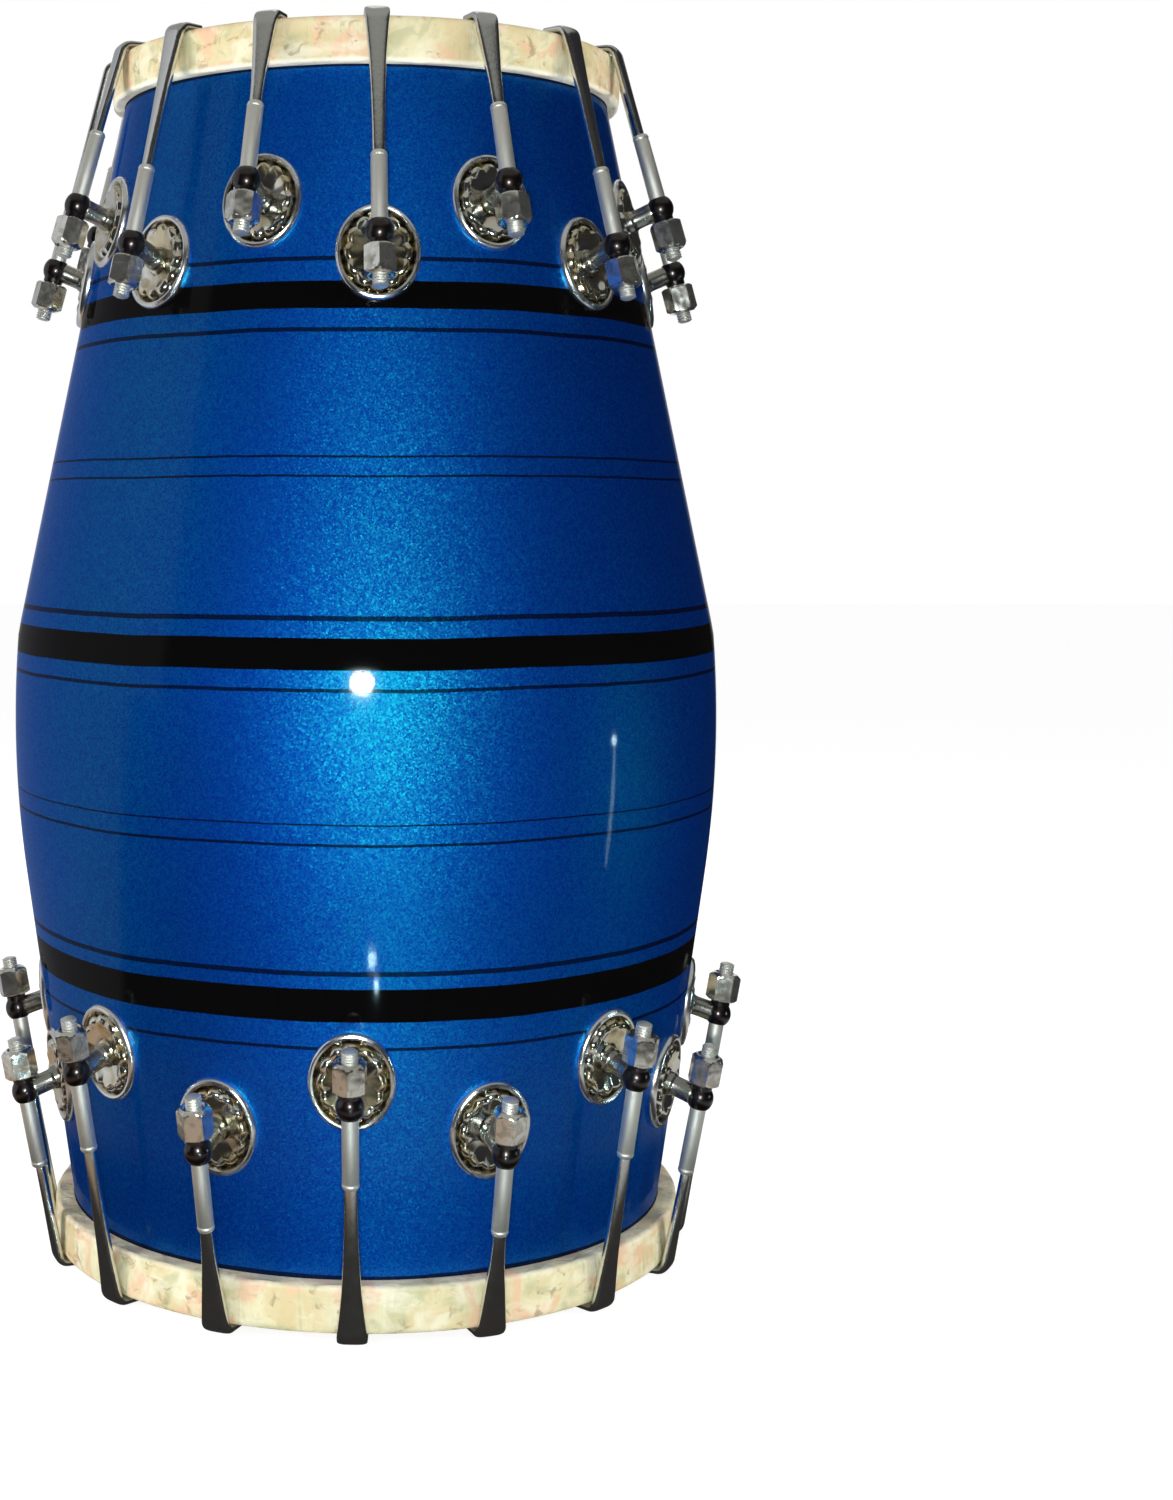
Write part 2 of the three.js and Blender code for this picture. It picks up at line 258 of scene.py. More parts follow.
class Maker:
    """Adds nodes to one tree: a node's settings first, then what goes into its sockets."""

    def __init__(self, tree):
        self.tree = tree

    def node(self, kind, settings=None, values=None):
        node = self.tree.nodes.new(kind)
        for name, setting in (settings or {}).items():
            setattr(node, name, setting)
        for name, value in (values or {}).items():
            feed(self.tree, node.inputs[name], value)
        return node

    def value(self, kind, output, settings=None, values=None):
        return Value(self.tree, self.node(kind, settings, values).outputs[output])

    def parts(self, vector):
        split = self.node("ShaderNodeSeparateXYZ", None, {"Vector": vector})
        return [Value(self.tree, socket) for socket in split.outputs]

    def vector(self, x, y, z):
        return self.value("ShaderNodeCombineXYZ", 0, None, {"X": x, "Y": y, "Z": z})

    def place(self):
        """The point of the surface in the object's own axes, in metres"""
        return self.value("ShaderNodeTexCoord", "Object")

    def stretched(self, vector, scale):
        mapping = {"Vector": vector, "Scale": scale}
        return self.value("ShaderNodeMapping", "Vector", None, mapping)

    def noise(self, vector, size_mm, detail=2.0, roughness=0.5, distortion=0.0):
        """Cloudy noise from 0 to 1 whose features are about size_mm across"""
        values = {
            "Vector": vector,
            "Scale": 1.0 / (size_mm * MM),
            "Detail": detail,
            "Roughness": roughness,
            "Distortion": distortion,
        }
        return self.value("ShaderNodeTexNoise", "Fac", None, values)

    def cells(self, vector, size_mm):
        """Cells about size_mm across, each with a random colour"""
        values = {"Vector": vector, "Scale": 1.0 / (size_mm * MM)}
        return self.value("ShaderNodeTexVoronoi", "Color", {"feature": "F1"}, values)

    def mix(self, factor, first, second):
        """A colour between two colours"""
        node = self.node("ShaderNodeMix", {"data_type": "RGBA"})
        feed(self.tree, node.inputs[MIX_FACTOR], factor)
        feed(self.tree, node.inputs[MIX_FIRST], colour(first))
        feed(self.tree, node.inputs[MIX_SECOND], colour(second))
        return Value(self.tree, node.outputs[MIX_RESULT])

    def blend(self, factor, first, second):
        """One shader laid over another by a factor"""
        node = self.node("ShaderNodeMixShader")
        for place, value in enumerate((factor, first, second)):
            feed(self.tree, node.inputs[place], value)
        return node.outputs[0]

    def tilted(self, tilt, amount):
        """The surface's normal, leaning by a vector times an amount"""
        normal = self.value("ShaderNodeNewGeometry", "Normal")
        lean = self.node("ShaderNodeVectorMath", {"operation": "SCALE"}, {"Vector": tilt, "Scale": amount})
        total = self.node("ShaderNodeVectorMath", {"operation": "ADD"})
        feed(self.tree, total.inputs[0], normal)
        feed(self.tree, total.inputs[1], lean.outputs[0])
        unit = self.node("ShaderNodeVectorMath", {"operation": "NORMALIZE"}, {"Vector": total.outputs[0]})
        return Value(self.tree, unit.outputs[0])

    def bump(self, height, depth_mm, normal=None):
        values = {"Height": height, "Distance": depth_mm * MM, "Strength": 1.0, "Normal": normal}
        return self.value("ShaderNodeBump", "Normal", None, values)


def colour(value):
    """A colour of three numbers gets its alpha, and anything else stays as it is."""
    if isinstance(value, tuple) and len(value) == 3:
        return (*value, 1.0)
    return value


def empty_tree(owner):
    """The maker of a material's or a world's node tree, with the nodes it came with taken out"""
    owner.use_nodes = True
    owner.node_tree.nodes.clear()
    return Maker(owner.node_tree)


def finish_material(name, make):
    """A material of one Principled shader, or of several, each laid over the last by its factor"""
    material = bpy.data.materials.new(name)
    maker = empty_tree(material)
    layers = make(maker)
    if isinstance(layers, dict):
        layers = [(1.0, layers)]
    surface = None
    for factor, values in layers:
        values = {key: colour(value) for key, value in values.items()}
        shader = maker.node("ShaderNodeBsdfPrincipled", None, values).outputs[0]
        surface = shader if surface is None else maker.blend(factor, surface, shader)
    maker.node("ShaderNodeOutputMaterial", None, {"Surface": surface})
    return material


# Painted rings round the barrel: level of the middle and width, in millimetres
WIDE_BANDS = [(365.4, 9.9), (240.4, 10.9), (119.0, 11.7)]
THIN_LINES = [(378.4, 1.6), (352.9, 1.6), (252.5, 1.8), (228.1, 1.3), (130.3, 1.8), (103.6, 1.2)]
FINE_LINES = [(308.3, 0.8), (301.5, 0.8), (182.3, 0.6), (175.3, 1.0)]
# Painted shade: dark rings on the lacquer where the hoops meet it, for the shadow in the gap between them
JOINT_SHADE_LINES = [(TREBLE.level - HOOP_HEIGHT - 0.3, 1.6), (BASS.level + HOOP_HEIGHT + 0.5, 1.8)]
# Lines narrower than this, in millimetres, are painted thinly and let some blue through
THIN_PAINT = 3.0
THIN_COVER = 0.86
# How far a ring wanders up and down, over long and short stretches, and how soft its edges are
RING_WANDER = 1.6
RING_SHIVER = 0.35
RING_SOFTNESS = 0.16
FLAKE_SIZE = 0.55


def lacquer(make):
    place = make.place()
    x, y, z = make.parts(place)
    around = make.vector(x, y, z * 0.35)
    # Brushed by hand, so each ring wanders a little and its width varies
    wander = (make.noise(around, 60.0, 1.0) - 0.5) * (RING_WANDER * MM)
    shiver = (make.noise(around, 9.0, 1.0) - 0.5) * (RING_SHIVER * MM)
    level = z + wander + shiver
    soft = RING_SOFTNESS * MM
    # Black paint of the rings, with the painted shade at the hoops' joints
    paint_and_shade = None
    for middle, width in WIDE_BANDS + THIN_LINES + FINE_LINES + JOINT_SHADE_LINES:
        half = width / 2 * MM
        ring = 1.0 - (level - middle * MM).size().step(half - soft, half + soft)
        if width < THIN_PAINT:
            ring = ring * THIN_COVER
        paint_and_shade = ring if paint_and_shade is None else paint_and_shade.most(ring)
    # Two kinds of flake: deep blue ones that glow widely, and sharper blue-green ones with a fine grain
    flake_a, flake_b, flake_c = make.parts(make.cells(place, FLAKE_SIZE))
    tilt = make.vector(flake_a - 0.5, flake_b - 0.5, flake_c - 0.5)
    brushed = make.vector(flake_a - 0.75, flake_b - 0.5, flake_c - 0.5)
    cloud = make.noise(place, 30.0, 2.0)
    coat = {"Coat Weight": 0.25, "Coat Roughness": 0.06, "Coat IOR": 1.33}
    deep = {
        "Base Color": make.mix(cloud, (0.002, 0.045, 0.54), (0.002, 0.055, 0.63)),
        "Metallic": 1.0,
        "Roughness": 0.69,
        "Specular Tint": (0.0, 0.3, 1.0),
        "Normal": make.tilted(tilt, 0.12),
    }
    spark = (flake_a + flake_b * 7.0).fraction()
    sharp = {
        "Base Color": make.mix(spark, (0.003, 0.12, 0.11), (0.009, 0.51, 0.4)),
        "Metallic": 1.0,
        "Roughness": 0.45,
        "Specular Tint": (0.0, 0.6, 0.8),
        "Normal": make.tilted(brushed, 0.22),
    }
    band = {"Base Color": (0.0016, 0.0014, 0.0016), "Roughness": 0.6, "Specular IOR Level": 0.0}
    return [(1.0, {**deep, **coat}), (0.3, {**sharp, **coat}), (paint_and_shade, {**band, **coat})]


def hide_values(make, worn):
    """Cream hide with rosy, mossy and dark stains, as strong as worn says, and a wrinkled surface"""
    place = make.place()
    x, y, z = make.parts(place)
    cloud = make.noise(place, 24.0, 3.0, 0.55, 0.8)
    streak = make.noise(make.vector(x, y, z * 1.6), 13.0, 3.0, 0.55, 0.5)
    tint = make.noise(make.vector(x + 0.4, y, z), 12.0, 3.0, 0.5, 0.6)
    stain = make.noise(make.vector(x, y + 0.4, z * 1.3), 7.0, 3.0, 0.6, 0.8)
    grain = make.noise(place, 1.3, 3.0, 0.6)
    cream = make.mix(cloud.step(0.35, 0.62), (0.61, 0.555, 0.36), (0.53, 0.43, 0.235))
    rosy = make.mix(tint.step(0.52, 0.63) * (1.13 * worn), cream, (0.62, 0.39, 0.25))
    mossy = make.mix(tint.step(0.47, 0.36) * (0.8 * worn), rosy, (0.37, 0.37, 0.21))
    pale = make.mix(streak.step(0.46, 0.68) * 0.7, mossy, (0.67, 0.63, 0.48))
    dark = make.mix(stain.step(0.44, 0.3) * worn, pale, (0.3, 0.22, 0.11))
    fine = make.mix(grain.step(0.6, 0.85) * 0.2, dark, (0.37, 0.28, 0.17))
    wrinkle = make.noise(make.vector(x, y, z * 0.25), 5.0, 3.0, 0.55, 0.8)
    pores = make.bump(grain, 0.12)
    return {
        "Base Color": fine,
        "Roughness": 0.5 + 0.3 * stain,
        "Normal": make.bump(wrinkle, 0.9, pores),
        "Specular IOR Level": 0.4,
    }


# The painted highlight along a hoop's edge: how wide it is, and where it has faded out, in millimetres
HIGHLIGHT_WIDTH = 0.6
HIGHLIGHT_FADE = 2.2


def hoop_hide(make):
    """A pale strip is painted along the hoop's edge towards the barrel: a painted highlight."""
    values = hide_values(make, 0.75)
    z = make.parts(make.place())[2]

    def strip(end):
        edge = end.level - end.outward * HOOP_HEIGHT
        return z.step((edge + end.outward * HIGHLIGHT_FADE) * MM, (edge + end.outward * HIGHLIGHT_WIDTH) * MM)

    # Painted highlight on the hide's edge, stronger at the treble than at the bass
    treble_highlight = strip(TREBLE) * (z > BELLY_LEVEL * MM) * 0.6
    bass_highlight = strip(BASS) * (z < BELLY_LEVEL * MM) * 0.2
    values["Base Color"] = make.mix(treble_highlight + bass_highlight, values["Base Color"], (0.74, 0.73, 0.65))
    return values


def head_hide(make):
    return hide_values(make, 0.15)


def tuning_paste(make):
    grain = make.noise(make.place(), 1.6, 4.0, 0.7)
    base = make.mix(grain, (0.012, 0.010, 0.009), (0.035, 0.028, 0.024))
    return {"Base Color": base, "Roughness": 0.9, "Normal": make.bump(grain, 0.25)}


def pressed_nickel(make):
    """Bright on the rolled rim, tarnished yellow on the petals, with painted shade in the groove"""
    place = make.place()
    rim = make.value("ShaderNodeAttribute", "Fac", {"attribute_name": "rim"})
    groove = make.value("ShaderNodeAttribute", "Fac", {"attribute_name": "groove"})
    dent = make.noise(place, 8.0, 1.0, 0.4)
    tarnish = make.noise(place, 9.0, 1.0, 0.5, 0.4)
    shade_mottle = make.noise(place, 3.0, 2.0, 0.5)
    warm = make.mix(tarnish.step(0.4, 0.62), (0.9, 0.88, 0.79), (0.8, 0.7, 0.47))
    # Painted shade: the groove and the dish's edge are darkened unevenly, for the shade and dark
    # reflections in them
    shaded = make.mix(groove * (0.5 + 0.5 * shade_mottle.step(0.4, 0.6)), warm, (0.13, 0.1, 0.06))
    return {
        "Base Color": make.mix(rim, shaded, (0.93, 0.94, 0.93)),
        "Metallic": 1.0,
        "Roughness": 0.11 + 0.1 * tarnish.step(0.45, 0.7) + 0.1 * rim,
        "Normal": make.bump(dent, 0.22),
    }


def dark_chrome(make):
    """The eyes: chrome painted nearly black for the dark room that it reflects, a painted reflection, with
    a clear polish
    """
    place = make.place()
    smear = make.noise(place, 2.5, 3.0, 0.6)
    base = make.mix(smear, (0.03, 0.022, 0.024), (0.062, 0.05, 0.047))
    polish = {"Coat Weight": 0.6, "Coat Roughness": 0.14, "Coat IOR": 1.55}
    return {"Base Color": base, "Metallic": 1.0, "Roughness": 0.26 + 0.1 * smear, **polish}


def bright_chrome(make):
    """The posts"""
    place = make.place()
    smear = make.noise(place, 2.5, 3.0, 0.6)
    base = make.mix(smear, (0.5, 0.5, 0.47), (0.38, 0.37, 0.33))
    return {"Base Color": base, "Metallic": 1.0, "Roughness": 0.2 + 0.12 * smear}


def nut_nickel(make):
    """Nickel worn in patches"""
    place = make.place()
    smear = make.noise(place, 2.5, 3.0, 0.5)
    patch = make.noise(place, 4.0, 2.0, 0.5, 0.6)
    dent = make.noise(place, 5.0, 1.0, 0.4)
    silver = make.mix(smear, (0.93, 0.92, 0.87), (0.8, 0.78, 0.71))
    base = make.mix(patch.step(0.48, 0.62) * 0.5, silver, (0.42, 0.39, 0.32))
    return {
        "Base Color": base,
        "Metallic": 0.98,
        "Roughness": 0.13 + 0.12 * smear,
        "Normal": make.bump(dent, 0.3),
    }


def hook_steel(make):
    """The blade is polished and reflects the dark room. The rod below its collar is paler and duller."""
    place = make.place()
    blade = make.value("ShaderNodeAttribute", "Fac", {"attribute_name": "blade"})
    smear = make.noise(place, 4.0, 4.0, 0.6, 0.5)
    brushed = make.noise(make.stretched(place, (1.0, 1.0, 0.12)), 0.5, 2.0, 0.5)
    dull = make.mix(smear, (0.96, 0.95, 0.9), (0.86, 0.84, 0.77))
    polished = make.mix(smear, (0.66, 0.67, 0.66), (0.8, 0.8, 0.76))
    return {
        "Base Color": make.mix(blade, dull, polished),
        "Metallic": 1.0,
        "Roughness": 0.51 + 0.1 * smear - 0.38 * blade,
        "Normal": make.bump(brushed, 0.03),
    }


FINISHES = (lacquer, hoop_hide, head_hide, tuning_paste, pressed_nickel, dark_chrome, bright_chrome)
FINISHES += (nut_nickel, hook_steel)
MATERIALS = {make.__name__: finish_material(make.__name__, make) for make in FINISHES}


# Meshes
def new_object(name, data):
    made = bpy.data.objects.new(name, data)
    bpy.context.scene.collection.objects.link(made)
    return made


def piece_object(name, mesh, crease):
    mesh.name = name
    mesh.shade_smooth()
    mesh.set_sharp_from_angle(angle=math.radians(crease))
    return new_object(name, mesh)


def mesh_from(name, points, faces, material):
    mesh = bpy.data.meshes.new(name)
    mesh.from_pydata([tuple(point) for point in points], [], faces)
    mesh.materials.append(MATERIALS[material])
    mesh.validate()
    return mesh


def ring_faces(rings, sides, closed_rings=False):
    """Quads between rings of points, each ring closed on itself"""
    faces = []
    last = rings if closed_rings else rings - 1
    for ring in range(last):
        lower = ring * sides
        upper = (ring + 1) % rings * sides
        for side in range(sides):
            after = (side + 1) % sides
            faces.append((lower + side, lower + after, upper + after, upper + side))
    return faces


def turned_mesh(name, profile, sides, material, radius_rule=None):
    """A [radius, height] profile turned round +Z, in millimetres. The profile closes on itself, or starts
    and ends on the axis. radius_rule moves each point by its angle and its place in the profile."""
    on_axis = profile[0][0] == 0.0 and profile[-1][0] == 0.0
    rings = profile[1:-1] if on_axis else profile
    points = []
    for place, (radius, height) in enumerate(rings):
        for side in range(sides):
            angle = 2 * math.pi * side / sides
            reach, rise = radius_rule(angle, radius, height, place) if radius_rule else (radius, height)
            points.append((reach * math.cos(angle), reach * math.sin(angle), rise))
    faces = ring_faces(len(rings), sides, not on_axis)
    if on_axis:
        bottom = len(points)
        points.append((0.0, 0.0, profile[0][1]))
        points.append((0.0, 0.0, profile[-1][1]))
        last = (len(rings) - 1) * sides
        for side in range(sides):
            after = (side + 1) % sides
            faces.append((after, side, bottom))
            faces.append((last + side, last + after, bottom + 1))
    return mesh_from(name, points, faces, material)


def rounded(profile, radii, steps=5):
    """Rounds the corners of an outline: radii gives one radius for each point, 0 for a sharp one."""
    result = []
    count = len(profile)
    for place in range(count):
        corner = Vector(profile[place])
        radius = radii[place]
        if radius == 0.0 or place in (0, count - 1):
            result.append(tuple(corner))
            continue
        before = Vector(profile[place - 1]) - corner
        after = Vector(profile[place + 1]) - corner
        reach = min(radius, before.length * 0.49, after.length * 0.49)
        start = corner + before.normalized() * reach
        end = corner + after.normalized() * reach
        for step in range(steps + 1):
            share = step / steps
            first = start.lerp(corner, share)
            second = corner.lerp(end, share)
            result.append(tuple(first.lerp(second, share)))
    return result


def transformed(mesh, matrix):
    """A copy of a mesh in millimetres, placed, in metres"""
    copy = mesh.copy()
    copy.transform(Matrix.Scale(MM, 4) @ matrix)
    return copy


# Geometry node trees
class Recipe:
    """A geometry node tree with named inputs, and its modifier on an empty mesh"""

    def __init__(self, name, inputs):
        self.tree = bpy.data.node_groups.new(name, "GeometryNodeTree")
        self.maker = Maker(self.tree)
        self.sockets = {}
        for label, kind in inputs.items():
            self.sockets[label] = self.tree.interface.new_socket(
                name=label, in_out="INPUT", socket_type=f"NodeSocket{kind}"
            )
        self.tree.interface.new_socket(name="Mesh", in_out="OUTPUT", socket_type="NodeSocketGeometry")
        self.start = self.tree.nodes.new("NodeGroupInput")
        self.end = self.tree.nodes.new("NodeGroupOutput")

    def input(self, label):
        return Value(self.tree, self.start.outputs[label])

    def close(self, geometry):
        """Ends the tree: copies made real, with the material that goes in"""
        real = self.maker.node("GeometryNodeRealizeInstances", None, {"Geometry": geometry})
        values = {"Geometry": real.outputs[0], "Material": self.input("Material")}
        dressed = self.maker.node("GeometryNodeSetMaterial", None, values)
        self.tree.links.new(dressed.outputs[0], self.end.inputs[0])

    def run(self, name, values):
        """The plain mesh that the tree makes from these input values"""
        carrier = new_object(name, bpy.data.meshes.new(name))
        modifier = carrier.modifiers.new("recipe", "NODES")
        modifier.node_group = self.tree
        for label, value in values.items():
            modifier[self.sockets[label].identifier] = value
        bpy.context.view_layer.update()
        depsgraph = bpy.context.evaluated_depsgraph_get()
        mesh = bpy.data.meshes.new_from_object(carrier.evaluated_get(depsgraph))
        carrier.modifiers.remove(modifier)
        bpy.data.objects.remove(carrier)
        return mesh


def ring_recipe():
    """Copies of a shape, set round the drum's axis at even turns"""
    inputs = {"Shape": "Object", "Count": "Int", "First turn": "Float", "Turn between": "Float"}
    recipe = Recipe("stations_round_the_drum", {**inputs, "Material": "Material"})
    make = recipe.maker
    unplaced = {"transform_space": "ORIGINAL"}
    shape = make.node("GeometryNodeObjectInfo", unplaced, {"Object": recipe.input("Shape")})
    points = make.node("GeometryNodePoints", None, {"Count": recipe.input("Count")})
    index = make.value("GeometryNodeInputIndex", 0)
    turn = recipe.input("First turn") + index * recipe.input("Turn between")
    values = {
        "Points": points.outputs[0],
        "Instance": shape.outputs["Geometry"],
        "Rotation": make.vector(0.0, 0.0, turn),
    }
    copies = make.node("GeometryNodeInstanceOnPoints", None, values)
    recipe.close(copies.outputs[0])
    return recipe


# The wall's sizes, in millimetres: each is an input of its recipe
WALL_SIZES = {
    "Bass mouth": MOUTH_LEVELS[0],
    "Treble mouth": MOUTH_LEVELS[1],
    "Bass radius": BASS.mouth_radius,
    "Treble radius": TREBLE.mouth_radius,
    "Belly radius": BELLY_RADIUS,
    "Belly level": BELLY_LEVEL,
    "Belly curve": BELLY_CURVE,
    "Cone top": LOWER_CONE_TOP,
    "Shoulder": SHOULDER_LEVEL,
    "Wall": SHELL_WALL,
}


def barrel_recipe():
    """The shell's wall: a grid bent round the axis, outside from mouth to mouth and back inside"""
    inputs = {name: "Float" for name in WALL_SIZES}
    recipe = Recipe("barrel_wall", {"Sides": "Int", "Steps": "Int", **inputs, "Material": "Material"})
    make = recipe.maker
    take = recipe.input
    counts = {"Vertices X": take("Sides") + 1.0, "Vertices Y": take("Steps") + 1.0}
    grid = make.node("GeometryNodeMeshGrid", None, {"Size X": 1.0, "Size Y": 1.0, **counts})
    across, along, _ = make.parts(make.value("GeometryNodeInputPosition", 0))
    angle = (across + 0.5) * (2 * math.pi)
    share = along + 0.5
    height_share = 1.0 - (1.0 - share * 2.0).size()
    level = take("Bass mouth") + height_share * (take("Treble mouth") - take("Bass mouth"))

    def arc(at):
        reach = take("Belly curve") ** 2.0 - (at - take("Belly level")) ** 2.0
        return take("Belly radius") - take("Belly curve") + reach ** 0.5

    def straight(start, start_radius, end, end_radius):
        return start_radius + (level - start) / (end - start) * (end_radius - start_radius)

    lower = straight(take("Bass mouth"), take("Bass radius"), take("Cone top"), arc(take("Cone top")))
    upper = straight(take("Shoulder"), arc(take("Shoulder")), take("Treble mouth"), take("Treble radius"))
    in_lower = level < take("Cone top")
    in_upper = level > take("Shoulder")
    in_belly = 1.0 - in_lower - in_upper
    outside = lower * in_lower + upper * in_upper + arc(level) * in_belly
    # The second half of the steps, without the two mouths' edges
    is_inside = (share > 0.5001) * (share < 0.9999)
    radius = outside - take("Wall") * is_inside
    position = make.vector(radius * angle.math("COSINE"), radius * angle.math("SINE"), level)
    values = {"Geometry": grid.outputs["Mesh"], "Position": position}
    bent = make.node("GeometryNodeSetPosition", None, values)
    values = {"Geometry": bent.outputs[0], "Distance": 0.01 * MM}
    merged = make.node("GeometryNodeMergeByDistance", None, values)
    recipe.close(merged.outputs[0])
    return recipe


BARREL = barrel_recipe()
RING = ring_recipe()


def make_shell():
    sizes = {name: size * MM for name, size in WALL_SIZES.items()}
    counts = {"Sides": WALL_SIDES, "Steps": WALL_STEPS}
    wall = BARREL.run("shell_wall", {**counts, **sizes, "Material": MATERIALS["lacquer"]})
    return piece_object("shell_wall", wall, FORGED_CREASE)


def make_hoop(end):
    """The hoop with its hide drawn over it: rounded edges and an uneven outer face"""
    outer = end.hoop_outside
    inner = end.hoop_inside

    def shell_at(depth):
        return shell_radius(end.level - end.outward * depth) + TOUCH_GAP

    foot = shell_at(HOOP_HEIGHT)
    profile = [
        (foot, -HOOP_HEIGHT),
        (outer - 0.3, -HOOP_HEIGHT),
        (outer, -HOOP_HEIGHT * 0.6),
        (outer, 0.0),
        (inner, 0.0),
        (shell_at(HOOP_HEIGHT * 0.5), -HOOP_HEIGHT * 0.5),
    ]
    smooth = rounded(profile + [profile[0]], [0.0, 1.8, 4.0, 2.6, 0.8, 0.0, 0.0], 6)[:-1]
    waves = 8
    rng = np.random.default_rng(7 if end is TREBLE else 11)
    phases = rng.uniform(0.0, 2 * math.pi, waves)
    counts = rng.integers(5, 40, waves)

    def uneven(angle, radius, height, place):
        swell = sum(math.sin(count * angle + phase) for count, phase in zip(counts, phases)) / waves
        ripple = 0.5 * swell * (0.3 - height / HOOP_HEIGHT)
        on_face = radius > outer - 2.0
        reach = radius - abs(ripple) * 0.7 if on_face else radius
        lift = 0.5 * swell if height < -HOOP_HEIGHT + 1.0 and on_face else 0.0
        return reach, height + lift

    name = f"{end.name}_hoop_hide"
    mesh = turned_mesh(name, smooth, HOOP_SIDES, "hoop_hide", uneven)
    return piece_object(name, transformed(mesh, end.matrix), HOOP_CREASE)


def make_head(end):
    """The stretched skin: a turned edge, and a face that dips a little halfway to the middle"""
    radius = end.mouth_radius + TOUCH_GAP * 0.8
    top = -SKIN_INSET
    under = top - SKIN_THICKNESS
    dip = 0.25
    profile = [(0.0, under), (radius - 0.4, under), (radius, under + 0.3), (radius, top - 0.2)]
    profile.append((radius - 0.6, top - 0.02))
    for share in (0.97, 0.93, 0.85, 0.7, 0.5, 0.3, 0.12):
        profile.append((radius * share, top - dip * math.sin(math.pi * share) ** 2))
    profile.append((0.0, top))
    name = f"{end.name}_head"
    mesh = turned_mesh(name, profile, HEAD_SIDES, "head_hide")
    return piece_object(name, transformed(mesh, end.matrix), HEAD_CREASE)


def marked(mesh, name, values):
    """Writes a number on each point of a mesh, for its finish. Points without one get 0."""
    marks = mesh.attributes.new(name, "FLOAT", "POINT")
    missing = len(mesh.vertices) - len(values)
    marks.data.foreach_set("value", list(values) + [0.0] * missing)
    return mesh


# The rosette's section from its foot over the rim and the petals: inset from its edge, and height
ROSETTE_SECTION = [(1.4, -3.0), (0.5, -1.6), (0.05, -0.2), (0.0, 0.8), (0.2, 1.6), (0.7, 2.25), (1.4, 2.5)]
ROSETTE_SECTION += [(2.1, 2.3), (2.6, 1.7), (2.95, 1.0), (3.3, 0.7), (3.65, 1.0), (4.0, 1.6), (4.4, 2.2)]
ROSETTE_SECTION += [(4.9, 2.65), (5.5, 2.9), (6.2, 2.95), (6.9, 2.8), (7.6, 2.55), (9.0, 2.1)]
ROSETTE_SECTION += [(10.6, 1.7), (12.2, 1.4)]
# By ring from the foot: how much it follows the petals, how much painted shade it holds, and the rim's
# rings
PETAL_WEIGHTS = {10: 0.5, 11: 0.8, 12: 1.0, 13: 1.0, 14: 1.0, 15: 1.0}
PETAL_WEIGHTS |= {16: 0.9, 17: 0.7, 18: 0.45, 19: 0.2}
GROOVE_SHADE_WEIGHTS = {8: 0.4, 9: 1.0, 10: 1.0, 11: 0.9, 12: 0.3, 21: 0.4, 22: 1.0, 23: 0.6}
RIM_RINGS = range(2, 8)
PETAL_LENGTH = 0.9
PETAL_RISE = 0.6


def rosette_shape(station):
    """The pressed oval cup: a rolled rim, a groove, a ring of scalloped petals and a dished middle"""
    outer = ROSETTE_LENGTH / 2
    profile = [(0.0, -3.0)]
    profile += [(outer - inset, height) for inset, height in ROSETTE_SECTION]
    profile += [(5.3, 1.35), (5.0, 1.6), (4.8, 2.1), (4.5, 2.4), (0.0, 2.4)]

    def pressed(angle, radius, height, place):
        weight = PETAL_WEIGHTS.get(place, 0.0)
        arch = abs(math.cos(PETALS / 2 * angle)) - 0.6
        reach = radius + PETAL_LENGTH * arch * weight
        rise = height + PETAL_RISE * arch * weight
        across = reach * math.cos(angle) * ROSETTE_WIDTH / ROSETTE_LENGTH
        sag = across**2 / (2 * station.shell_curve) * min(1.0, radius / outer) ** 2 * 0.75
        return reach, rise - sag

    mesh = turned_mesh("rosette", profile, ROSETTE_SIDES, "pressed_nickel", pressed)
    mesh.transform(Matrix.Diagonal((ROSETTE_WIDTH / ROSETTE_LENGTH, 1.0, 1.0, 1.0)))
    rings = [place for place in range(len(profile) - 2) for _ in range(ROSETTE_SIDES)]
    marked(mesh, "rim", [float(place in RIM_RINGS) for place in rings])
    marked(mesh, "groove", [GROOVE_SHADE_WEIGHTS.get(place, 0.0) for place in rings])
    return mesh


def post_shape():
    """The turned post from the cup's middle to the middle of the eye"""
    profile = [
        (0.0, 0.8),
        (POST_RADIUS + 0.4, 0.8),
        (POST_RADIUS + 0.4, 3.6),
        (POST_RADIUS, 4.2),
        (POST_RADIUS - 0.2, 4.8),
        (POST_RADIUS - 0.25, 7.0),
        (POST_RADIUS - 0.2, 9.6),
        (POST_RADIUS - 0.1, EYE_STANDOFF - 3.6),
        (POST_RADIUS - 0.6, EYE_STANDOFF - 1.4),
        (0.0, EYE_STANDOFF - 1.4),
    ]
    softness = [0.0, 0.0, 0.4, 0.3, 0.4, 0.6, 0.6, 0.4, 0.2, 0.0]
    return turned_mesh("post", rounded(profile, softness, 3), POST_SIDES, "bright_chrome")


# A turned mesh has its axis on +Z. On a station the rod runs along +Y.
ALONG_ROD = Matrix.Rotation(-math.pi / 2, 4, "X")


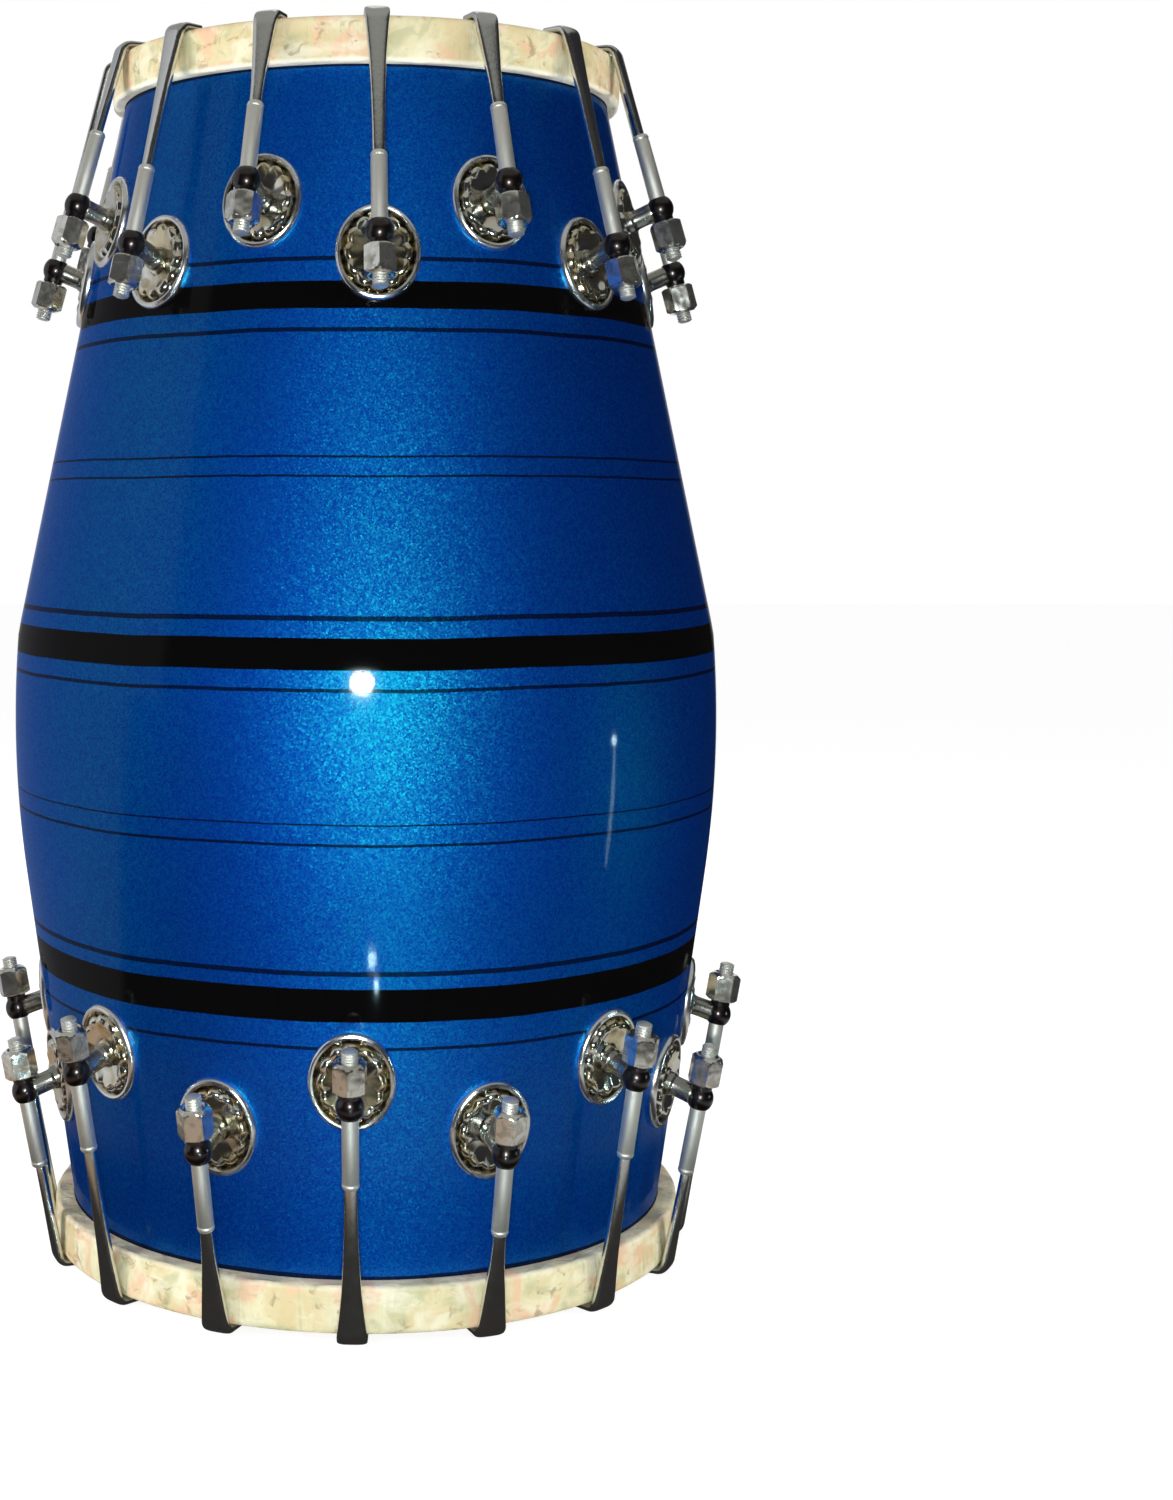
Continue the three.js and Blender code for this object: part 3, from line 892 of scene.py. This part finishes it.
def eye_shape():
    """The ball drilled for the rod, a little longer than round, with a short neck towards the nut"""
    bore = ROD_RADIUS + ROD_CLEARANCE
    neck = bore + 0.35
    half_length = 5.4
    profile = [(bore, -EYE_SEAT), (neck - 0.3, -EYE_SEAT), (neck, -EYE_SEAT + 0.3)]
    start = -math.acos(neck / EYE_RADIUS)
    end = math.acos((bore + 0.15) / EYE_RADIUS)
    steps = 14
    for step in range(steps + 1):
        angle = start + (end - start) * step / steps
        profile.append((EYE_RADIUS * math.cos(angle), half_length * math.sin(angle)))
    top = profile[-1][1]
    profile.append((bore, top - 0.2))
    return turned_mesh("eye", profile, EYE_SIDES, "dark_chrome")


def nut_shape():
    """A tall hexagon nut, its corners chamfered to arcs at both ends"""
    bore = ROD_RADIUS + ROD_CLEARANCE
    flat = NUT_FLATS / 2
    corner = flat / math.cos(math.pi / 6)
    seat = -EYE_SEAT - TOUCH_GAP
    free = seat - NUT_HEIGHT
    heights = [free, free + 0.25, free + 0.5, free + 0.8, free + 1.2, free + 1.6]
    heights += [free + 3.0, seat - 3.0, seat - 0.9, seat - 0.6, seat - 0.3, seat - 0.1, seat]
    profile = [(bore, free + 0.5), (bore + 0.6, free)]
    profile += [(corner, height) for height in heights]
    profile += [(bore + 0.6, seat), (bore, seat - 0.5)]
    # Cones that cut the corners at each end: radius at the end, then growth for each millimetre inwards
    free_cone = flat - 0.9
    seat_cone = flat - 0.2
    free_growth = 1.25
    seat_growth = 1.6

    def hexagon(angle, radius, height, place):
        if radius < corner - 0.01:
            return radius, height
        sector = math.pi / 3
        within = (angle + sector / 2) % sector - sector / 2
        reach = flat / math.cos(within)
        free_cut = free_cone + (height - free) * free_growth
        seat_cut = seat_cone + (seat - height) * seat_growth
        return min(reach, free_cut, seat_cut), height

    return turned_mesh("nut", profile, NUT_SIDES, "nut_nickel", hexagon)


# The collar under the blade: change from the rod's radius, and height
COLLAR_SECTION = [(0.0, -0.3), (-0.15, -0.1), (-0.15, 0.2), (0.05, 0.4), (0.1, 0.8), (0.05, 1.2)]
COLLAR_SECTION += [(-0.1, 1.4), (-0.2, 1.8), (-0.6, 2.2), (-1.3, 2.3)]


def rod_shape():
    """The rod from its threaded tail up to the collar under the blade"""
    tail = -EYE_SEAT - TOUCH_GAP - NUT_HEIGHT - ROD_TAIL
    thread_start = tail + 0.6
    thread_end = tail + ROD_TAIL + 1.5
    profile = [(0.0, tail), (1.6, tail), (2.5, tail + 0.45)]
    count = int((thread_end - tail - 0.6) / THREAD_STEP)
    profile += [(ROD_RADIUS, thread_start + THREAD_STEP * place) for place in range(count)]
    profile += [(ROD_RADIUS, thread_end + 0.6), (ROD_RADIUS, 0.0), (ROD_RADIUS, 10.0)]
    collar = BLADE_START - 2.4
    profile += [(ROD_RADIUS + change, collar + rise) for change, rise in COLLAR_SECTION]
    profile.append((0.0, collar + 2.4))

    def threaded(angle, radius, height, place):
        if radius < ROD_RADIUS - 0.01 or height > thread_end:
            return radius, height
        turn = (height / THREAD_PITCH + angle / (2 * math.pi)) % 1.0
        depth = THREAD_DEPTH * abs(2 * turn - 1)
        fade = min(1.0, (thread_end - height) / 0.8)
        return radius - depth * fade, height

    return turned_mesh("rod", profile, ROD_SIDES, "hook_steel", threaded)


def blade_shape(station):
    """The J-shaped blade: rounded flat sections along the rod's line, bent over the hoop"""
    end = station.end
    lean = station.lean
    eye = station.eye

    def along(level):
        """How far beyond the eye the rod's line reaches a level"""
        return (level - eye.y) / math.cos(lean)

    lip_middle = TOUCH_GAP + LIP_THICKNESS / 2
    inward = Vector((-math.cos(lean), math.sin(lean)))
    corner = Vector((0.0, along(lip_middle)))
    tip_out = Vector((end.hoop_inside, lip_middle)) - eye
    tip = Vector(
        (
            tip_out.x * math.cos(lean) + tip_out.y * math.sin(lean),
            -tip_out.x * math.sin(lean) + tip_out.y * math.cos(lean),
        )
    )
    bend_start = corner - Vector((0.0, BLADE_BEND))
    bend_end = corner + inward * BLADE_BEND
    start = BLADE_START - 1.2
    heights = [start, start + 1.5, start + 4.0, start + 8.0, start + 13.0]
    while heights[-1] < bend_start.y - BLADE_STEP:
        heights.append(heights[-1] + BLADE_STEP)
    # Middles of the sections, each with the direction in which the blade goes on
    path = [(Vector((0.0, height)), Vector((0.0, 1.0))) for height in heights]
    bend_steps = 8
    for step in range(bend_steps + 1):
        share = step / bend_steps
        first = bend_start.lerp(corner, share)
        second = corner.lerp(bend_end, share)
        path.append((first.lerp(second, share), (second - first).normalized()))
    for share in (0.35, 0.7, 0.9, 0.97, 1.0):
        path.append((bend_end.lerp(tip, share), inward))
    hoop_foot = along(-HOOP_HEIGHT)
    hoop_top = along(0.0)
    length = 0.0
    points = []
    before = path[0][0]
    for place, (middle, direction) in enumerate(path):
        length += (middle - before).length
        before = middle
        at = start + length
        if at < hoop_foot:
            share = max(0.0, (at - BLADE_START) / (hoop_foot - BLADE_START))
            width = NECK_WIDTH + share**2.2 * (end.blade_hoop_width - NECK_WIDTH)
        else:
            share = min(1.0, (at - hoop_foot) / (hoop_top - hoop_foot))
            width = end.blade_hoop_width + share * (end.blade_lip_width - end.blade_hoop_width)
        bent = max(0.0, min(1.0, (at - bend_start.y) / (2 * BLADE_BEND)))
        thick = BLADE_THICKNESS + bent * (LIP_THICKNESS - BLADE_THICKNESS)
        # The neck grows out of the collar, and the last sections round off the tip
        grow = min(1.0, 0.9 + (at - start) / 20.0)
        ending = (len(path) - 1 - place) / 2.0
        taper = 1.0 if ending >= 1 else 0.82 + 0.18 * math.sqrt(1 - (1 - ending) ** 2)
        half_width = width / 2 * taper * grow
        half_thick = thick / 2 * taper * (0.75 + 0.25 * grow)
        # A section is an ellipse at the power of 1, and squarer the lower the power is
        flatness = max(0.0, min(1.0, (at - start) / 30.0))
        power = 0.85 - 0.3 * flatness
        across = Vector((-direction.y, direction.x))
        for side in range(BLADE_SIDES):
            angle = 2 * math.pi * side / BLADE_SIDES
            cosine = math.cos(angle)
            sine = math.sin(angle)
            sideways = math.copysign(abs(cosine) ** power, cosine) * half_width
            outwards = math.copysign(abs(sine) ** power, sine) * half_thick
            spot = middle + across * -outwards
            points.append((sideways, spot.y, spot.x))
    faces = ring_faces(len(path), BLADE_SIDES)
    faces.append(tuple(reversed(range(BLADE_SIDES))))
    faces.append(tuple(range((len(path) - 1) * BLADE_SIDES, len(path) * BLADE_SIDES)))
    return mesh_from("blade", points, faces, "hook_steel")


def joined(name, meshes):
    """One mesh of several closed ones"""
    carriers = [new_object(name, mesh) for mesh in meshes]
    for carrier in bpy.context.scene.objects:
        carrier.select_set(False)
    for carrier in carriers:
        carrier.select_set(True)
    bpy.context.view_layer.objects.active = carriers[0]
    bpy.ops.object.join()
    mesh = carriers[0].data
    bpy.data.objects.remove(carriers[0])
    return mesh


def outward(mesh):
    """Turns every face outwards"""
    work = bmesh.new()
    work.from_mesh(mesh)
    bmesh.ops.recalc_face_normals(work, faces=work.faces)
    work.to_mesh(mesh)
    work.free()
    return mesh


def ring_of(name, shapes, material, count, turn_between):
    """One piece of several shapes, each at its own first turn, repeated round the drum"""
    meshes = []
    for mesh, first_turn in shapes:
        shape = new_object("shape", mesh)
        values = {
            "Shape": shape,
            "Count": count,
            "First turn": first_turn,
            "Turn between": turn_between,
            "Material": MATERIALS[material],
        }
        meshes.append(RING.run(name, values))
        bpy.data.objects.remove(shape)
    return meshes[0] if len(meshes) == 1 else joined(name, meshes)


STATION_STEP = 2 * math.pi / STATION_COUNT
# How far the hexagon nuts of each row are turned from facing straight out
NUT_TURNS = (math.radians(5), math.radians(7))
LUG_FINISHES = {
    "rosettes": "pressed_nickel",
    "posts": "bright_chrome",
    "eyes": "dark_chrome",
    "nuts": "nut_nickel",
}


def station_turn(end, index):
    """The turn of a station about the drum's own axis"""
    return end.outward * (STATION_TURN + index * STATION_STEP)


wall = make_shell()
for end in (TREBLE, BASS):
    lug_shapes = {part: [] for part in LUG_FINISHES}
    for row in (0, 1):
        station = STATIONS[end.name, row]
        on_shell = station.matrix(station.foot, station.slope)
        on_post = station.matrix(station.foot, station.post_lean)
        on_rod = station.matrix(station.eye, station.lean) @ ALONG_ROD
        first = station_turn(end, row)
        lug_shapes["rosettes"].append((transformed(outward(rosette_shape(station)), on_shell), first))
        lug_shapes["posts"].append((transformed(outward(post_shape()), on_post), first))
        lug_shapes["eyes"].append((transformed(outward(eye_shape()), on_rod), first))
        if end is BASS:
            nut_turn = Matrix.Rotation(NUT_TURNS[row], 4, "Z")
            lug_shapes["nuts"].append((transformed(outward(nut_shape()), on_rod @ nut_turn), first))
    row_step = end.outward * 2 * STATION_STEP
    for part, shapes in lug_shapes.items():
        if not shapes:
            continue
        name = f"{end.name}_{part}"
        mesh = ring_of(name, shapes, LUG_FINISHES[part], STATION_COUNT // 2, row_step)
        piece = piece_object(name, mesh, LUG_CREASE)
        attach(piece, "drum")

    for row in (0, 1):
        station = STATIONS[end.name, row]
        on_rod = station.matrix(station.eye, station.lean)
        rod = marked(transformed(outward(rod_shape()), on_rod @ ALONG_ROD), "blade", [])
        blade = transformed(outward(blade_shape(station)), on_rod)
        marked(blade, "blade", [1.0] * len(blade.vertices))
        hook = joined("hook", [rod, blade])
        for index in range(row, STATION_COUNT, 2):
            number = f"{index + 1:02d}"
            node = f"{end.name}_hook_{number}"
            mesh = ring_of(node, [(hook, station_turn(end, index))], "hook_steel", 1, 0.0)
            piece = piece_object(f"{node}_steel", mesh, FORGED_CREASE)
            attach(piece, node)
            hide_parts(node)
            if end is TREBLE:
                nut_node = f"treble_nut_{number}"
                nut_turn = Matrix.Rotation(-NUT_TURNS[row], 4, "Z")
                nut = transformed(outward(nut_shape()), on_rod @ ALONG_ROD @ nut_turn)
                mesh = ring_of(nut_node, [(nut, station_turn(end, index))], "nut_nickel", 1, 0.0)
                piece = piece_object(f"{nut_node}_nickel", mesh, LUG_CREASE)
                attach(piece, nut_node)
                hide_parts(nut_node)

    hoop = make_hoop(end)
    outward(hoop.data)
    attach(hoop, "drum")
    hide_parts(f"{end.name}_hoop")
    head = make_head(end)
    outward(head.data)
    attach(head, "drum")
    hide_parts(f"{end.name}_skin")

outward(wall.data)
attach(wall, "drum")
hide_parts("shell")

paste_node = frame["nodes"]["bass_tuning_paste"]
paste_node.data.materials.clear()
paste_node.data.materials.append(MATERIALS["tuning_paste"])


# Studio
# Where parts of the room start and are full, in degrees from the front: the white paper behind, the wall
# on the left, its dimmer far end, and the slightly brighter front
BEHIND = (156, 168)
LEFT_WALL = (64, 69)
FAR_WALL = (85, 120)
FRONT = (75, 5)


def room_light(make, x, y, rise):
    """What gloss sees of the studio in a direction: white behind, a pale wall on the left, a grey
    ceiling, and a dark room in front and on the right. rise is a number for a level that has none."""

    def part(turn, degrees):
        return turn.step(math.radians(degrees[0]), math.radians(degrees[1]))

    left = (-x).math("ARCTAN2", -y)
    turn = left.size()
    looks_up = isinstance(rise, Value)
    low = (-0.08 - rise).most(0.0) if looks_up else max(0.0, -0.08 - rise)
    ceiling = rise.step(0.6, 0.64) if looks_up else 0.0
    dark = make.mix(part(turn, FRONT), (0.022, 0.022, 0.025), (0.03, 0.029, 0.027))
    pale = make.mix(part(left, FAR_WALL), (0.58, 0.59, 0.61), (0.38, 0.39, 0.42))
    walled = make.mix(part(left - low * 0.62, LEFT_WALL), dark, pale)
    roofed = make.mix(ceiling, walled, (0.33, 0.33, 0.31))
    return make.mix(part(turn, BEHIND), roofed, (0.9, 0.9, 0.9))


def kinds_of_ray(make):
    """1 for what the camera sees, also through a clear surface, and 1 for what gloss sees"""
    rays = make.node("ShaderNodeLightPath").outputs
    names = ("Is Camera Ray", "Is Transmission Ray", "Is Glossy Ray")
    camera, through, glossy = (Value(make.tree, rays[name]) for name in names)
    return camera.most(through), glossy


def studio_floor():
    """White paper for the camera. Gloss sees a painted shadow under the drum, then paper, then the room.
    """
    half = 6.0
    mesh = bpy.data.meshes.new("floor")
    corners = [(-half, -half, 0.0), (half, -half, 0.0), (half, half, 0.0), (-half, half, 0.0)]
    mesh.from_pydata(corners, [], [(0, 1, 2, 3)])
    floor = new_object("floor", mesh)
    floor.location.z = -0.1 * MM
    material = bpy.data.materials.new("studio_paper")
    make = empty_tree(material)
    seen, glossy = kinds_of_ray(make)
    x, y, _ = make.parts(make.value("ShaderNodeNewGeometry", "Position"))
    paper = make.node("ShaderNodeBsdfDiffuse", None, {"Color": (0.9, 0.9, 0.9, 1.0)})
    glow = make.node("ShaderNodeEmission", None, {"Color": (1.0, 1.0, 1.0, 1.0), "Strength": 1.22})
    from_axis = (x * x + y * y) ** 0.5
    paper_side = make.mix(x.step(-0.02, 0.01), (0.36, 0.27, 0.2), (0.46, 0.46, 0.44))
    lit = make.mix(from_axis.step(0.34, 0.26), room_light(make, x, y, -0.4), paper_side)
    # Painted shadow: gloss sees the floor dark close round the drum
    shade = make.mix(from_axis.step(0.22, 0.185), lit, (0.034, 0.032, 0.03))
    gloss = make.node("ShaderNodeEmission", None, {"Color": shade})
    plain = make.blend(seen * 0.7, paper.outputs[0], glow.outputs[0])
    both = make.blend(glossy, plain, gloss.outputs[0])
    make.node("ShaderNodeOutputMaterial", None, {"Surface": both})
    mesh.materials.append(material)


def studio_world():
    """White where the camera looks, the room where gloss does, and an even grey for the rest"""
    world = bpy.data.worlds.new("studio")
    bpy.context.scene.world = world
    make = empty_tree(world)
    x, y, z = make.parts(make.value("ShaderNodeTexCoord", "Generated"))
    room = room_light(make, x, y, z)
    seen, glossy = kinds_of_ray(make)
    plain = make.mix(glossy, (0.45, 0.45, 0.45), room)
    sky = make.mix(seen, plain, (1.0, 1.0, 1.0))
    background = make.node("ShaderNodeBackground", None, {"Color": sky, "Strength": 1.0})
    make.node("ShaderNodeOutputWorld", None, {"Surface": background.outputs[0]})


def lamp(name, place, target, size, power, tint=(1.0, 1.0, 1.0)):
    """An elliptical lamp, in metres and watts, that points at its target"""
    light = bpy.data.lights.new(name, "AREA")
    light.shape = "ELLIPSE"
    light.size, light.size_y = size
    light.energy = power
    light.color = tint
    holder = new_object(name, light)
    holder.location = place
    holder.rotation_euler = (Vector(target) - Vector(place)).to_track_quat("-Z", "Y").to_euler()
    holder.visible_camera = False
    return holder


def studio_camera():
    """Level, a little above the drum's shoulder, at the photograph's distance and framing"""
    camera = bpy.data.cameras.new("camera")
    camera.lens = 51.4
    camera.shift_x = 0.147
    camera.shift_y = -0.157
    camera.clip_start = 0.01
    holder = new_object("camera", camera)
    holder.location = (0.0, -0.867, 0.288)
    holder.rotation_euler = (math.radians(90), 0.0, 0.0)
    bpy.context.scene.camera = holder


studio_floor()
studio_world()
studio_camera()
FLASH = (-0.018, -0.92, 0.245)
BELLY = (0.0, 0.0, 0.22)
MIDDLE = (0.0, 0.0, 0.24)
COOL = (0.55, 0.9, 1.0)
lamp("flash", FLASH, BELLY, (0.11, 0.045), 4.8)
lamp("flash_glow", (-0.018, -0.925, 0.245), BELLY, (0.2, 0.085), 0.5, (0.3, 1.0, 1.0))
lamp("side_lamp", (1.27, -0.227, 0.078), (0.088, -0.109, 0.208), (0.04, 0.019), 0.28, COOL)
lamp("side_strip", (0.53, -0.15, 0.09), (0.088, -0.109, 0.187), (0.012, 0.14), 0.075, COOL)
lamp("low_lamp", (0.0107, -0.379, 0.002), (0.002, -0.133, 0.135), (0.014, 0.009), 0.065, COOL)
lamp("low_lamp_right", (0.0173, -0.352, 0.004), (0.004, -0.131, 0.125), (0.008, 0.006), 0.026, COOL)
# Soft lamps at the sides, above and behind, which gloss doesn't show
for fill in (
    lamp("left_fill", (-1.0, -0.35, 0.3), MIDDLE, (0.5, 0.5), 7.5),
    lamp("right_fill", (1.0, -0.35, 0.3), MIDDLE, (0.5, 0.5), 4.6, (1.0, 0.95, 0.84)),
    lamp("top_fill", (0.0, 0.05, 1.6), (0.0, 0.0, 0.4), (0.7, 0.7), 6.0),
    lamp("back_fill", (0.0, 1.2, 0.4), MIDDLE, (0.6, 0.6), 7.0),
):
    fill.visible_glossy = False
bpy.context.scene.view_settings.view_transform = "Standard"
